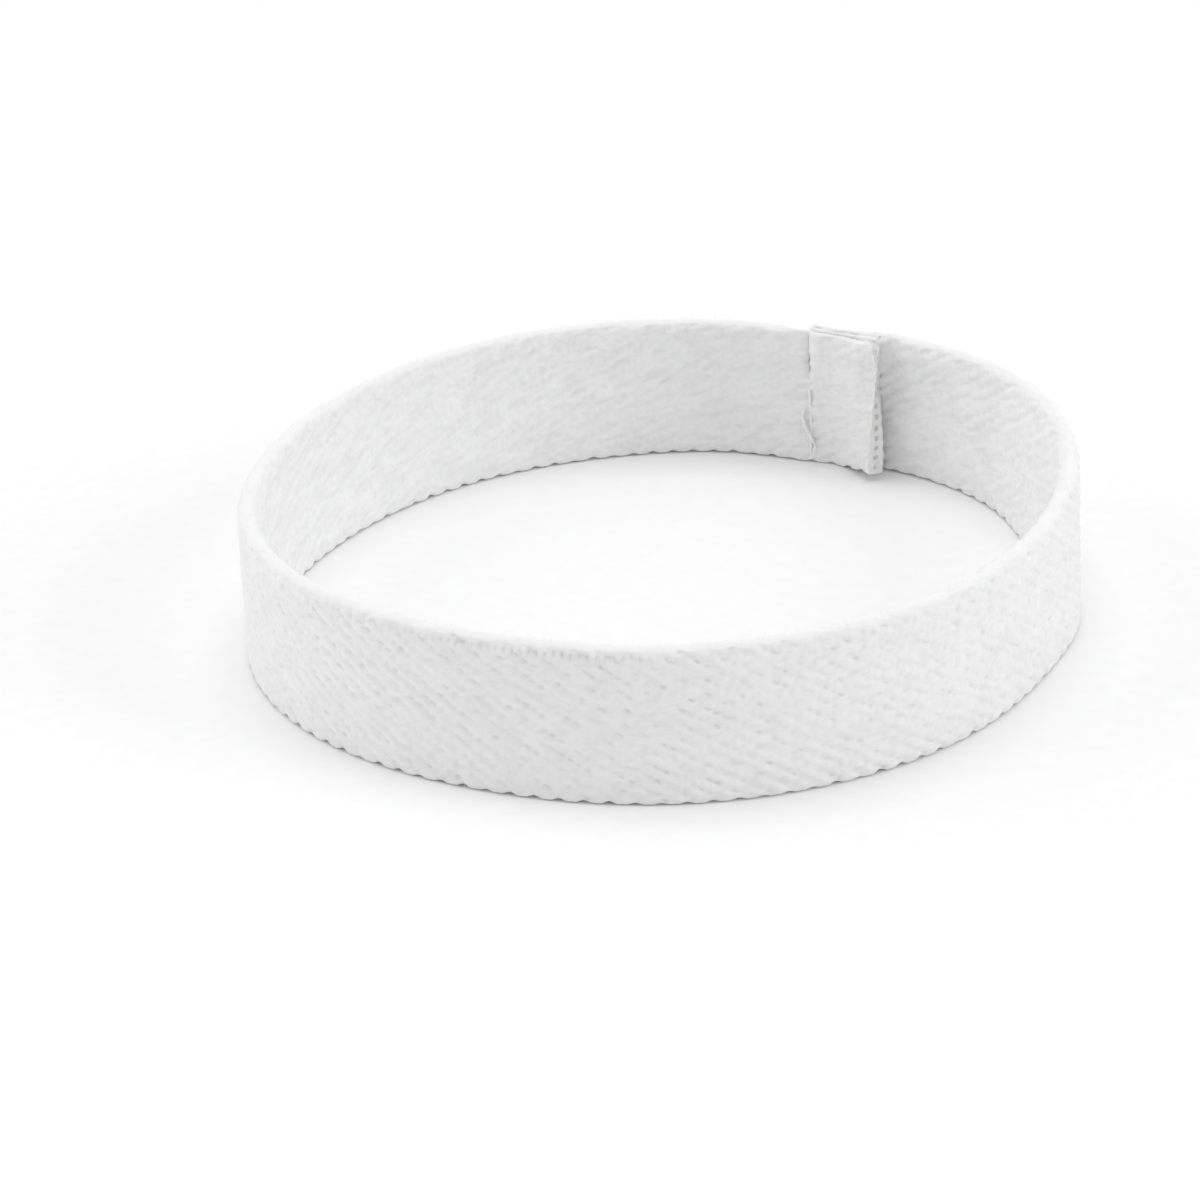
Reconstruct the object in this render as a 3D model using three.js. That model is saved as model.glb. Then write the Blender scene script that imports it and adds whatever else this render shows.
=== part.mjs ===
// Narrow woven elastic wristband: one strip of elastic webbing, bent into a loop and sewn end to end.
// Millimetres, +Z up. The loop lies flat with its lower selvedge on z = 0 and its plan centred on the Z axis.
// The webbing is one strip. It is built in lengths, because its rear half, its front half and the sewn-in
// ends move apart from each other when the elastic stretches and when the seam allowance lifts.

import * as THREE from 'three';
import { mergeVertices } from 'three/addons/utils/BufferGeometryUtils.js';

// Strip section
const WIDTH = 10;
const THICKNESS = 1.3;
const SELVEDGE_EASE = 0.25;
const CORE_COUNT = 12;
const CORE_PITCH = 0.8;
const CORE_SIDE = 0.5;
const TUNNEL_CLEARANCE = 0.06;

// Plan of the relaxed loop: a circle with slight waves, because soft elastic never lies perfectly round
const MEAN_RADIUS = 25.7;
const LEAN_DIAGONAL = 0.034;
const EGG = -0.008;
const SQUARE_STRAIGHT = -0.006;
const SQUARE_TURNED = 0.009;

// The stiff seam draws the loop in a little
const PINCH_DEPTH = 0.9;
const PINCH_ANGLE = THREE.MathUtils.degToRad(67);
const PINCH_WIDTH = THREE.MathUtils.degToRad(10);
const FRONT_SEGMENTS = 16;
const REAR_LEFT_SEGMENTS = 10;
const REAR_RIGHT_SEGMENTS = 5;

// Seam: both ends turn into the loop and are folded over to one side, where sewing and pressing thin them
const SEAM_ANGLE = THREE.MathUtils.degToRad(65.5);
const PRESSED_THICKNESS = 1;
const PRESS_LENGTH = 2.5;
const ALLOWANCE = 5.6;
const ALLOWANCE_SEGMENTS = 2;
const THREAD_DIAMETER = 0.25;
const FOLD_GAP = 0.4;
const LAYER_GAP = 0.1;
const CUT_GAP = 0.1;
const QUARTER_SEGMENTS = 2;
const STITCH_MARGIN = 0.5;
const THREAD_SIDES = 6;
const THREAD_STEPS = 8;
const TAIL_STEPS = 28;

const COLOURS = { webbing: 0xeeeef0, rubber: 0xcfc6b4, thread: 0xf6f6f4 };

// Insets are measured into the loop from its centre line
const FOLD_INNER_RADIUS = FOLD_GAP / 2;
const FOLD_RADIUS = FOLD_INNER_RADIUS + PRESSED_THICKNESS / 2;
const UNDER_LIFT = PRESSED_THICKNESS + FOLD_GAP;
const TOP_LIFT = UNDER_LIFT + PRESSED_THICKNESS + LAYER_GAP;
const RISER_OFFSET = LAYER_GAP + PRESSED_THICKNESS / 2;

// Distances to the right of the seam line, along the loop
const RIGHT_FOLD_AT = FOLD_RADIUS + PRESSED_THICKNESS / 2;
const LEFT_FOLD_AT = -RISER_OFFSET - FOLD_RADIUS;
const TOP_FOLD_AT = -RISER_OFFSET + FOLD_RADIUS;

function planRadius(angle) {
  const waves = LEAN_DIAGONAL * Math.sin(2 * angle)
    + EGG * Math.cos(3 * angle)
    + SQUARE_STRAIGHT * Math.cos(4 * angle)
    + SQUARE_TURNED * Math.sin(4 * angle);
  const fromPinch = Math.atan2(Math.sin(angle - PINCH_ANGLE), Math.cos(angle - PINCH_ANGLE));
  const pinch = PINCH_DEPTH * Math.exp(-((fromPinch / PINCH_WIDTH) ** 2));
  return MEAN_RADIUS * (1 + waves) - pinch;
}

function planPoint(angle) {
  const radius = planRadius(angle);
  return new THREE.Vector2(radius * Math.cos(angle), radius * Math.sin(angle));
}

// Unit vector out of the loop, square to the plan curve
function outwardAt(angle) {
  const step = 1e-4;
  const along = planPoint(angle + step).sub(planPoint(angle - step)).normalize();
  return new THREE.Vector2(along.y, -along.x);
}

function angleRightOfSeam(distance) {
  return SEAM_ANGLE - distance / planRadius(SEAM_ANGLE);
}

function arcFromSeam(angle) {
  const turn = angle > Math.PI ? angle - 2 * Math.PI : angle;
  return (SEAM_ANGLE - turn) * planRadius(SEAM_ANGLE);
}

// The webbing thins towards the seam from both sides
function thicknessAt(angle) {
  const right = arcFromSeam(angle);
  const away = right > 0 ? right - ALLOWANCE : LEFT_FOLD_AT - right;
  const recovered = THREE.MathUtils.smoothstep(away, 0, PRESS_LENGTH);
  return THREE.MathUtils.lerp(PRESSED_THICKNESS, THICKNESS, recovered);
}

// A station is a place on the strip's centre line, with the direction its outer face looks and its thickness
function ringStation(angle, inset, facing) {
  const outward = outwardAt(angle);
  const point = planPoint(angle).addScaledVector(outward, -inset);
  return { point, facing: outward.multiplyScalar(facing), thickness: thicknessAt(angle) };
}

function ringStations(from, to, segments) {
  return Array.from({ length: segments + 1 }, (_, i) =>
    ringStation(THREE.MathUtils.lerp(from, to, i / segments), 0, 1));
}

// Stations in the length of the seam allowance, on the band itself (lift 0) or on a layer lifted off it
function allowanceStations(from, to, lift, facing) {
  return Array.from({ length: ALLOWANCE_SEGMENTS + 1 }, (_, i) =>
    ringStation(THREE.MathUtils.lerp(from, to, i / ALLOWANCE_SEGMENTS), lift, facing));
}

// Place given by its distance right of the seam line and its inset into the loop
function seamPoint(right, inset) {
  const outward = outwardAt(angleRightOfSeam(right));
  return planPoint(angleRightOfSeam(right)).addScaledVector(outward, -inset);
}

// Quarter bends: centre, the seam's own axes, and the turn from one bearing to another (0 = out of the loop,
// 90 = left along it). side is +1 where the outer face is on the outside of the bend.
function bendStations(right, inset, fromDegrees, toDegrees, side) {
  const segments = Math.round(Math.abs(toDegrees - fromDegrees) / 90) * QUARTER_SEGMENTS;
  const centre = seamPoint(right, inset);
  const outward = outwardAt(angleRightOfSeam(right));
  const left = new THREE.Vector2(-outward.y, outward.x);
  return Array.from({ length: segments + 1 }, (_, i) => {
    const bearing = THREE.MathUtils.degToRad(THREE.MathUtils.lerp(fromDegrees, toDegrees, i / segments));
    const arm = outward.clone().multiplyScalar(Math.cos(bearing)).addScaledVector(left, Math.sin(bearing));
    const point = centre.clone().addScaledVector(arm, FOLD_RADIUS);
    return { point, facing: arm.multiplyScalar(side), thickness: PRESSED_THICKNESS };
  });
}

// Lengths of the strip, in order from the left end's cut edge to the right end's cut edge.
// Angles fall from left to right along the allowance, and rise along the loop from the seam's left side.
function stripLengths() {
  const fullTurn = 2 * Math.PI;
  const gapAngle = CUT_GAP / MEAN_RADIUS;
  const cutEnd = angleRightOfSeam(ALLOWANCE);
  const rightTurn = angleRightOfSeam(RIGHT_FOLD_AT);
  const root = rightTurn - gapAngle;
  const leftTurn = angleRightOfSeam(LEFT_FOLD_AT);
  const pressedFrom = fullTurn + angleRightOfSeam(ALLOWANCE + PRESS_LENGTH);
  const [topOfFold] = allowanceStations(rightTurn, rightTurn, TOP_LIFT, 1);
  return {
    seam_allowance_top: allowanceStations(cutEnd, root, TOP_LIFT, 1),
    webbing_fold_left: [
      topOfFold,
      ...bendStations(TOP_FOLD_AT, TOP_LIFT - FOLD_RADIUS, 180, 90, -1),
      ...bendStations(LEFT_FOLD_AT, FOLD_RADIUS, -90, 0, 1),
    ],
    webbing_rear_left: ringStations(leftTurn + gapAngle, Math.PI, REAR_LEFT_SEGMENTS),
    webbing_front: ringStations(Math.PI + gapAngle, fullTurn, FRONT_SEGMENTS),
    webbing_rear_right: [
      ...ringStations(fullTurn + gapAngle, pressedFrom, REAR_RIGHT_SEGMENTS),
      ...allowanceStations(fullTurn + cutEnd, fullTurn + root, 0, 1),
    ],
    webbing_fold_right: bendStations(RIGHT_FOLD_AT, FOLD_RADIUS, 0, 180, 1),
    seam_allowance_under: allowanceStations(root, cutEnd, UNDER_LIFT, -1),
  };
}

// Moves every station so that the loop's outline is centred on the Z axis
function centringOffset(lengths) {
  const outline = new THREE.Box2();
  for (const station of Object.values(lengths).flat()) {
    outline.expandByPoint(station.point.clone().addScaledVector(station.facing, station.thickness / 2));
  }
  return outline.getCenter(new THREE.Vector2()).negate();
}

function squareAt(z, half) {
  return [[-half, z - half], [half, z - half], [half, z + half], [-half, z + half]]
    .map(([u, height]) => new THREE.Vector2(u, height));
}

// Section outline with the selvedges eased. u runs through the thickness, z across the width.
function webbingOutline(thickness) {
  const face = thickness / 2;
  const flat = face - SELVEDGE_EASE;
  const shoulder = WIDTH - SELVEDGE_EASE;
  return [
    [-flat, 0], [flat, 0], [face, SELVEDGE_EASE], [face, shoulder],
    [flat, WIDTH], [-flat, WIDTH], [-face, shoulder], [-face, SELVEDGE_EASE],
  ].map(([u, z]) => new THREE.Vector2(u, z));
}

function coreHeight(index) {
  return WIDTH / 2 + (index - (CORE_COUNT - 1) / 2) * CORE_PITCH;
}

function tunnelOutlines() {
  const half = CORE_SIDE / 2 + TUNNEL_CLEARANCE;
  return Array.from({ length: CORE_COUNT }, (_, i) => squareAt(coreHeight(i), half).reverse());
}

// Closed solid along a row of stations. outlineAt gives the outline that suits a station's thickness.
function sweep(stations, outlineAt, tunnels) {
  const positions = stations.flatMap((station) => {
    const section = [outlineAt(station.thickness), ...tunnels].flat();
    const { point, facing } = station;
    return section.flatMap(({ x: u, y: z }) => [point.x + facing.x * u, point.y + facing.y * u, z]);
  });
  const first = outlineAt(stations[0].thickness);
  const last = outlineAt(stations.at(-1).thickness);
  const sizes = [first, ...tunnels].map((loop) => loop.length);
  const sectionSize = sizes.reduce((sum, size) => sum + size);
  const lastStart = (stations.length - 1) * sectionSize;
  const triangles = [];
  for (let start = 0; start < lastStart; start += sectionSize) {
    addWalls(triangles, sizes, start, start + sectionSize);
  }
  for (const [a, b, c] of THREE.ShapeUtils.triangulateShape(first, tunnels)) {
    triangles.push(a, b, c);
  }
  for (const [a, b, c] of THREE.ShapeUtils.triangulateShape(last, tunnels)) {
    triangles.push(lastStart + a, lastStart + c, lastStart + b);
  }
  const geometry = new THREE.BufferGeometry();
  geometry.setAttribute('position', new THREE.Float32BufferAttribute(positions, 3));
  geometry.setIndex(triangles);
  geometry.computeVertexNormals();
  return geometry;
}

function addWalls(triangles, loopSizes, here, next) {
  let start = 0;
  for (const size of loopSizes) {
    for (let i = 0; i < size; i += 1) {
      const a = start + i;
      const b = start + (i + 1) % size;
      triangles.push(here + a, next + a, next + b, here + a, next + b, here + b);
    }
    start += size;
  }
}

function material(kind, roughness) {
  return new THREE.MeshStandardMaterial({ color: COLOURS[kind], roughness, metalness: 0 });
}

function namedMesh(name, geometry, kind, roughness) {
  const mesh = new THREE.Mesh(geometry, material(kind, roughness));
  mesh.name = name;
  return mesh;
}

// Round thread along a curve, with flat ends
function threadGeometry(curve, steps) {
  const section = new THREE.Shape();
  section.absarc(0, 0, THREAD_DIAMETER / 2, 0, 2 * Math.PI);
  const tube = new THREE.ExtrudeGeometry(section,
    { extrudePath: curve, steps, curveSegments: THREAD_SIDES, bevelEnabled: false });
  tube.deleteAttribute('normal');
  tube.deleteAttribute('uv');
  const geometry = mergeVertices(tube);
  geometry.computeVertexNormals();
  return geometry;
}

function threadPoint(right, inset, height) {
  const place = seamPoint(right, inset);
  return new THREE.Vector3(place.x, place.y, height);
}

// The bobbin thread lies inside the right end's fold. It is the line that the seam allowance turns about.
function bobbinThread() {
  const bottom = threadPoint(RIGHT_FOLD_AT, FOLD_RADIUS, STITCH_MARGIN);
  const top = threadPoint(RIGHT_FOLD_AT, FOLD_RADIUS, WIDTH - STITCH_MARGIN);
  return threadGeometry(new THREE.LineCurve3(bottom, top), THREAD_STEPS);
}

// The needle thread lies in the left end's fold. Its loose tail turns out of the fold and hangs beside it.
function needleThread() {
  const free = 2 * THREAD_DIAMETER;
  const path = [
    threadPoint(LEFT_FOLD_AT, FOLD_RADIUS, WIDTH - STITCH_MARGIN),
    threadPoint(LEFT_FOLD_AT, FOLD_RADIUS, WIDTH / 2),
    threadPoint(LEFT_FOLD_AT, FOLD_RADIUS, 3 * STITCH_MARGIN),
    threadPoint(LEFT_FOLD_AT - free / 4, FOLD_RADIUS + free / 8, 2 * STITCH_MARGIN),
    threadPoint(LEFT_FOLD_AT - free, FOLD_RADIUS + free / 4, STITCH_MARGIN),
    threadPoint(LEFT_FOLD_AT - 2 * free, FOLD_RADIUS + free / 4, 2 * STITCH_MARGIN),
    threadPoint(LEFT_FOLD_AT - 2 * free, FOLD_RADIUS + free / 4, 7 * STITCH_MARGIN),
  ];
  return threadGeometry(new THREE.CatmullRomCurve3(path), TAIL_STEPS);
}

function buildWristband() {
  const wristband = new THREE.Group();
  const lengths = stripLengths();
  const tunnels = tunnelOutlines();
  for (const [name, stations] of Object.entries(lengths)) {
    wristband.add(namedMesh(name, sweep(stations, webbingOutline, tunnels), 'webbing', 0.85));
  }
  const wholeStrip = Object.values(lengths).flat();
  for (let i = 0; i < CORE_COUNT; i += 1) {
    const core = squareAt(coreHeight(i), CORE_SIDE / 2);
    const name = `rubber_core_${String(i + 1).padStart(2, '0')}`;
    wristband.add(namedMesh(name, sweep(wholeStrip, () => core, []), 'rubber', 0.6));
  }
  wristband.add(namedMesh('needle_thread', needleThread(), 'thread', 0.7));
  wristband.add(namedMesh('bobbin_thread', bobbinThread(), 'thread', 0.7));
  const offset = centringOffset(lengths);
  wristband.position.set(offset.x, offset.y, 0);
  return wristband;
}

const group = buildWristband();

export default group;
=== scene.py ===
"""A narrow white elastic wristband, sewn into a loop: the looks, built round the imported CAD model.

The webbing is drawn again as one woven strip. A place on it is given by how far it lies along the strip
(counter-clockwise from the stitch line, so the sewn-in ends have their own stretch), how high it is, and
which face it is on. Lengths are in millimetres until a mesh is made; Blender's meshes are in metres.
"""

import math

import bpy
import numpy as np
from mathutils import Matrix, Vector


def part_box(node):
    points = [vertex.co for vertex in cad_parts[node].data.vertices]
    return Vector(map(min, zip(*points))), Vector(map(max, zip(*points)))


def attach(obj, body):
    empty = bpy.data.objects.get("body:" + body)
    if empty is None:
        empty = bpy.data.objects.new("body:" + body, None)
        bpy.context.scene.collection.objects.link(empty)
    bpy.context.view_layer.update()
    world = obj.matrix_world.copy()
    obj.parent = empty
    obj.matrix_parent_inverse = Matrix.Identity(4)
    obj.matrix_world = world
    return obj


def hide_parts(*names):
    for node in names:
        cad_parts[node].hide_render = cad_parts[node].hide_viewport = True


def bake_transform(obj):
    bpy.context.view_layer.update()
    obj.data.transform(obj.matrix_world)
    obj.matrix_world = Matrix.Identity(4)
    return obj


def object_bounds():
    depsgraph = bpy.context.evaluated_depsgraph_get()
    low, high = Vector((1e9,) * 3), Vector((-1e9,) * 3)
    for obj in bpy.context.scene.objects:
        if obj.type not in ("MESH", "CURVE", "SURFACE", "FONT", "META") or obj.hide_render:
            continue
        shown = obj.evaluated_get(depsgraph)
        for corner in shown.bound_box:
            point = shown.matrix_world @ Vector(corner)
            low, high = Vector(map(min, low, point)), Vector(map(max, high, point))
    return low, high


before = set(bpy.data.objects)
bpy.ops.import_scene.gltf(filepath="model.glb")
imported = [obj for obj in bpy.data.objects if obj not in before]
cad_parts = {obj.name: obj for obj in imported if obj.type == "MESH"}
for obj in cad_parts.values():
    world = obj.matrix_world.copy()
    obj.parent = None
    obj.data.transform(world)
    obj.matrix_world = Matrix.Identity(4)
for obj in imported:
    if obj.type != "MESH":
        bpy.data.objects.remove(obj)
cad_low, cad_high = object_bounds()

MM = 0.001
TURN = 2 * math.pi

# Seeds, one for each kind of unevenness. The weave's are for the outer face; the inner face adds 1.
WANDER_SEED = 7
BODY_SEED = 10
CLEAR_SEED = 12
TUFT_SEED = 14
FINE_SEED = 15
UPRIGHT_SEED = 16
STREAK_SEED = 17
PIT_SEED = 18
TICK_SEED = 28
NOTCH_SEED = 38
EDGE_SEED = 48
DRIFT_SEED = 58
CUT_SEED = 68
RAGGED_SEED = 78
LOOP_FIBRES_SEED = 88
FLAP_FIBRES_SEED = 98

# The strip: its width is the CAD node's own, and its thickness that of the loop away from the seam
WIDTH = (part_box("webbing_front")[1].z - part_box("webbing_front")[0].z) / MM
THICKNESS = 1.3

# Plan of the loop: a circle with slight waves, drawn in a little at the stiff seam
MEAN_RADIUS = 25.7
LEAN_DIAGONAL = 0.034
EGG = -0.008
SQUARE_STRAIGHT = -0.006
SQUARE_TURNED = 0.009
PINCH_DEPTH = 0.9
PINCH_ANGLE = math.radians(67)
PINCH_WIDTH = math.radians(10)
STITCH_ANGLE = math.radians(66.2)
PLAN_STEPS = 7200

# Where the strip leans: angle and spread in degrees, how far the top edge goes into the loop and the bottom
# edge out of it, and how far the whole strip goes in
LEANS = ((70, 24, 0.4, 0.0), (17, 13, -0.45, 0.45), (-9, 11, 0.28, -0.2), (-94, 20, 0.0, -0.38))

# Weave: a 2/1 twill. One thread in three picks dips under, a pick further along in each row.
PICK = 0.48
REPEAT = 3
ROWS = 31
TOP_EDGE = 0.42
BOTTOM_EDGE = 0.2
ROW = (WIDTH - TOP_EDGE - BOTTOM_EDGE) / ROWS
SAMPLES_PER_PICK = 4
SAMPLES_PER_ROW = 3
FACE_POINTS = ROWS * SAMPLES_PER_ROW + 1
EDGE_STEPS = 16

# The outer and the inner face: slope of the streaks in the pile, as rows per pick, their strength, and that
# of the pits where a thread dips under
FACES = ((1.0, 1.0, 1.2), (0.55, 3.3, 0.5))

# Unevenness of the weave: size of its features along and up the strip. WANDERS has how far the threads wander
# too, in picks.
WANDERS = ((0.16, (2.3, 1.7)), (0.10, (0.9, 0.6)))
CLEAR_SIZE = (14.0, 9.0)
TUFT_SIZE = (0.33, 0.27)
FINE_SIZE = (0.17, 0.14)
UPRIGHT_SIZE = (1.9, 1.3)
BODY_SIZE = (5.0, 4.0)
STREAK_PICKS = 3.2

# Relief of the weave. Where the weave is clear its floats, ribs and streaks show, and elsewhere its tufts.
CLEARNESS = (0.65, 0.35)
TUFTS_FADE_AT = 1.3
FLOAT_RELIEF = 0.036
RIB_RELIEF = 0.036
STREAK_RELIEF = 0.03
TUFT_RELIEF = 0.045
UPRIGHT_RELIEF = 0.022
FINE_RELIEF = 0.018
BODY_RELIEF = 0.03
PIT_DEPTH = 0.07
PIT_ACROSS = 0.26
PIT_ALONG = 0.62
PIT_USUAL = 0.15
PIT_VARIES = 1.1
PIT_MOST = 1.4
FLOAT_FULL_ACROSS = 0.7
FLOAT_FULL_ALONG = 0.8

# Painted shade: how much darker each kind of low place is painted
PIT_SHADE = 0.6
TUFT_SHADE = 0.3
FINE_SHADE = 0.25
STREAK_SHADE = 0.2
TICK_SHADE = 0.8
NOTCH_SHADE = 0.5
HOLLOW_SHADE = 0.4
CUT_SHADE = 0.3

# Selvedges: slots under the upper one, deepest about one place on the outer face, and notches along the
# lower one
TICKS_AT = 84.0
TICKS_SPREAD = 8.0
TICKS_BELOW_TOP = 0.62
TICK_HEIGHT = 0.18
TICK_DEPTH = 0.09
TICK_SHARPNESS = 3
TICKS_ELSEWHERE = 0.15
TICKS_UNEVEN = 0.15
TICKS_UNEVEN_SIZE = 3.0
NOTCH_HEIGHT = 0.32
NOTCH_RISE = 0.15
NOTCH_NARROWS = 0.10
NOTCH_USUAL = 0.75
NOTCH_VARIES = 0.35
NOTCH_SHARPNESS = 2.2
TOP_ROUNDNESS = 2.5
FOOT_ROUNDNESS = 3.2
TOP_TAPER = (0.20, WIDTH + 0.1, 0.62)
SQUARER = 0.6
FACE_FADES = 0.35
EDGE_RIPPLE = 0.012
EDGE_UNEVEN = 0.02
EDGE_UNEVEN_SIZE = 1.1
DRIFT = 0.06
DRIFT_SIZE = 9.0

# Seam, in distances to the right of the stitch line and insets into the loop from the strip's centre line.
# The left end lies over the right one as a flap.
ALLOWANCE_TOP = 5.5
ALLOWANCE_UNDER = 4.6
LOOP_STARTS = 2.5
FOLD_AT = 0.2
FLAP_PRESSED_FROM = (-2.4, -0.3)
BAND_PRESSED_TO = 7.5
SQUARER_FROM = (0.1, 0.7)
SQUARER_TO = (ALLOWANCE_TOP, ALLOWANCE_TOP + 1.5)
FOLD_LENGTH = 1.0

# The flap's lift: its slope, where it starts and how rounded the start is. It changes from the foot to the
# top over a range of heights, which like those below is given in shares of the width.
LIFT_AT_FOOT = (0.64, 1.6, 0.5)
LIFT_AT_TOP = (0.42, -0.1, 0.4)
LIFT_CHANGES = (0.0, 0.9)
ROLLED_BACK = 0.22
ROLLED_HEIGHTS = (0.72, 1.05)
ROLLED_FROM = (0.3, 2.5)
GROOVE_WIDTH = 0.19
GROOVE_DEPTH = 0.04
GROOVE_DEEPER = 0.62
DEEPER_FROM = (0.62, 0.76)
DEEPER_TO = (0.92, 0.98)

# Humps and dips of the seam: height, place to the right and spread
SHOULDER = (0.2, 0.7, 0.45)
SHOULDER_HEIGHTS = (0.5, 0.9)
DIMPLE = (0.16, 1.0, 0.28)
DIMPLE_HEIGHT = (3.9, 1.0)
BEAD = (0.34, 0.25, 0.85)
TUCK_DEPTH = 0.42
TUCK_FROM = (1.0, 1.7)
TUCK_TO = (2.0, 6.0)

# Share of the seam's whole thickness that each of its three layers takes, and the most that it takes
FLAP_SHARE = 0.36
FLAP_MOST = 1.1
BAND_SHARE = 0.33
UNDER_SHARE = 0.3
UNDER_MOST = 1.0
LAYER_GAP = 0.01

# The flap's free lower corner stands off the floor, and its cut edge is slanted and ragged
CORNER_FROM = 1.6
CORNER_HEIGHT = 4
FLAP_CORNER_RISE = 0.5
UNDER_CORNER_RISE = 0.3
CUT_SLANT = 0.75
SLANT_HEIGHTS = (0.15, 1.0)
CUT_RAGGED = 0.06
CUT_RAGGED_SIZE = 0.5
CUT_TOP_CORNER = 0.5
TOP_CORNER_HEIGHTS = (0.82, 1.02)
CUT_REACH = 1.6
CUT_TUFTS = 0.06
CUT_TUFT_SIZE = 0.16
CUT_TUFTS_ACROSS = 4
CUT_HOLLOW = 0.06
HOLLOW_EDGE = (0.8, 1.15)

# Rubber cores
CORE_COUNT = 12
CORE_PITCH = 0.8
CORE_HALF = 0.2
CORE_RECESS = 0.02
CORE_SIDES = 8
CORE_SQUARENESS = 0.6
LOOP_CORE_STEP = 0.5
FLAP_CORE_STEP = 0.2
FOLD_CORE_STEP = 0.1

# Sewing thread: two plies, and stitches down the groove. A stitch's lie is how far it stands off the fabric.
PLIES = 2
PLY_RADIUS = 1.1
PLIES_PART = 4.5
THREAD_SPREAD = 0.062
THREAD_PITCH = 0.42
THREAD_SIDES = 6
THREAD_STEP = THREAD_PITCH / 10
STITCH_TOP = 9.55
STITCH_LENGTH = 1.84
STITCH_LIES = (-0.3, -0.03, 0.05, 0.0, 0.03)
STITCH_THROUGH = -0.45
STITCH_BEND = 0.28
STITCH_SAG = 0.06

# The loose tail's course: to the right of the stitch line, off the fabric, and height
TAIL = (
    (-0.3, -0.3, 4.3), (-0.42, 0.0, 4.0), (-0.52, 0.16, 3.6), (-0.4, 0.2, 3.0), (-0.15, 0.22, 2.4),
    (0.08, 0.2, 1.9), (0.26, 0.18, 1.45), (0.2, 0.2, 1.0), (-0.05, 0.22, 0.6),
)
TAIL_PITCH = THREAD_PITCH * 1.4
TAIL_OPENS = 0.72
BOBBIN_AT = 0.45
BOBBIN_FOOT = 0.3
BOBBIN_WAVE = 0.05

# Loose fibre ends: how they lean and curl is in lengths of the fibre
LOOP_FIBRES = 4200
FLAP_FIBRES = 350
FIBRES_AT_EDGES = 0.45
FIBRES_ON_TOP = 0.6
FIBRE_LENGTH = (0.08, 0.3)
FIBRE_RADIUS = 0.011
FIBRE_TAPER = 0.5
FIBRE_STATIONS = 4
FIBRE_SIDES = 3
FIBRE_LEAN = 0.8
FIBRE_LEAN_MOST = 1.5
FIBRE_SIDEWAYS = 0.8
FIBRE_CURL = 0.6
FIBRE_CURL_MOST = 1.2
FIBRE_DROOP = 0.45
FIBRE_ROOT = 0.03

# Colours: a pair where one fades into the other
WEBBING_DULL, WEBBING_CLEAN = (0.865, 0.865, 0.87, 1.0), (0.895, 0.895, 0.895, 1.0)
FIBRE_BRIGHT = (0.96, 0.96, 0.96, 1.0)
# Grey of the painted shade in the pits and other low places
PAINTED_SHADE_GREY = (0.55, 0.55, 0.57, 1.0)
THREAD_DULL, THREAD_BRIGHT = (0.90, 0.90, 0.89, 1.0), (0.97, 0.97, 0.96, 1.0)
LATEX, TALC = (0.62, 0.59, 0.53, 1.0), (0.78, 0.76, 0.71, 1.0)
FLOOR_DULL, FLOOR_BRIGHT = (0.93, 0.93, 0.93, 1.0), (0.95, 0.95, 0.95, 1.0)
WHITE = (1.0, 1.0, 1.0, 1.0)

# Soft light from both sides and above, in metres and watts, and a world that is brighter behind the loop than
# in front of it
WORLD_STRENGTH = (0.50, 0.74)
WORLD_FADE = (-1.0, 0.2)
LIGHTS = (
    ("left", (-0.8, 0.08, 0.37), 0.9, 2.3),
    ("right", (0.8, -0.25, 0.4), 0.5, 2.15),
    ("overhead", (0.0, 0.1, 0.9), 0.6, 2.0),
)
FLOOR_HALF = 3.0
FLOOR_GAP = 0.00003

# Camera: slightly above the loop, which sits right of and above the middle of the frame
CAMERA_DISTANCE = 0.236
CAMERA_ELEVATION = math.radians(24.28)
CAMERA_ROLL = math.radians(1.26)
LENS = 111.9
SENSOR = 36.0
RIGHT_OF_MIDDLE = 0.0556
ABOVE_MIDDLE = 0.0533


def smoothstep(low, high, value):
    t = np.clip((value - low) / (high - low), 0.0, 1.0)
    return t * t * (3 - 2 * t)


def lerp(a, b, t):
    return a + (b - a) * t


def bell(value, centre, width):
    return np.exp(-(((value - centre) / width) ** 2))


def unit(vectors):
    return vectors / np.linalg.norm(vectors, axis=-1, keepdims=True)


# ---------------------------------------------------------------- plan curve

def angle_between(angle, middle):
    return np.arctan2(np.sin(angle - middle), np.cos(angle - middle))


def plan_radius(angle):
    waves = (LEAN_DIAGONAL * np.sin(2 * angle) + EGG * np.cos(3 * angle)
             + SQUARE_STRAIGHT * np.cos(4 * angle) + SQUARE_TURNED * np.sin(4 * angle))
    pinch = PINCH_DEPTH * bell(angle_between(angle, PINCH_ANGLE), 0.0, PINCH_WIDTH)
    return MEAN_RADIUS * (1 + waves) - pinch


def plan_points(angle):
    radius = plan_radius(angle)
    return np.stack([radius * np.cos(angle), radius * np.sin(angle)], axis=-1)


def plan_outward(angle):
    step = 1e-4
    along = unit(plan_points(angle + step) - plan_points(angle - step))
    return np.stack([along[..., 1], -along[..., 0]], axis=-1)


def plan_table():
    """Arc length against angle, from the stitch line once round, and the offset that centres the outline."""
    angles = STITCH_ANGLE + np.linspace(0, TURN, PLAN_STEPS + 1)
    points = plan_points(angles)
    arc = np.concatenate([[0], np.cumsum(np.linalg.norm(np.diff(points, axis=0), axis=1))])
    outline = points + plan_outward(angles) * THICKNESS / 2
    return angles, arc, -(outline.min(0) + outline.max(0)) / 2


PLAN_ANGLES, PLAN_ARC, PLAN_OFFSET = plan_table()
ROUND = PLAN_ARC[-1]
LOOP_ENDS = ROUND - FOLD_AT
UNDER_ENDS = LOOP_ENDS + ALLOWANCE_UNDER + FOLD_LENGTH


def angle_at(along):
    """Angle of a place on the loop, from its distance counter-clockwise of the stitch line."""
    turns = np.floor(along / ROUND)
    return np.interp(along - turns * ROUND, PLAN_ARC, PLAN_ANGLES)


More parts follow.
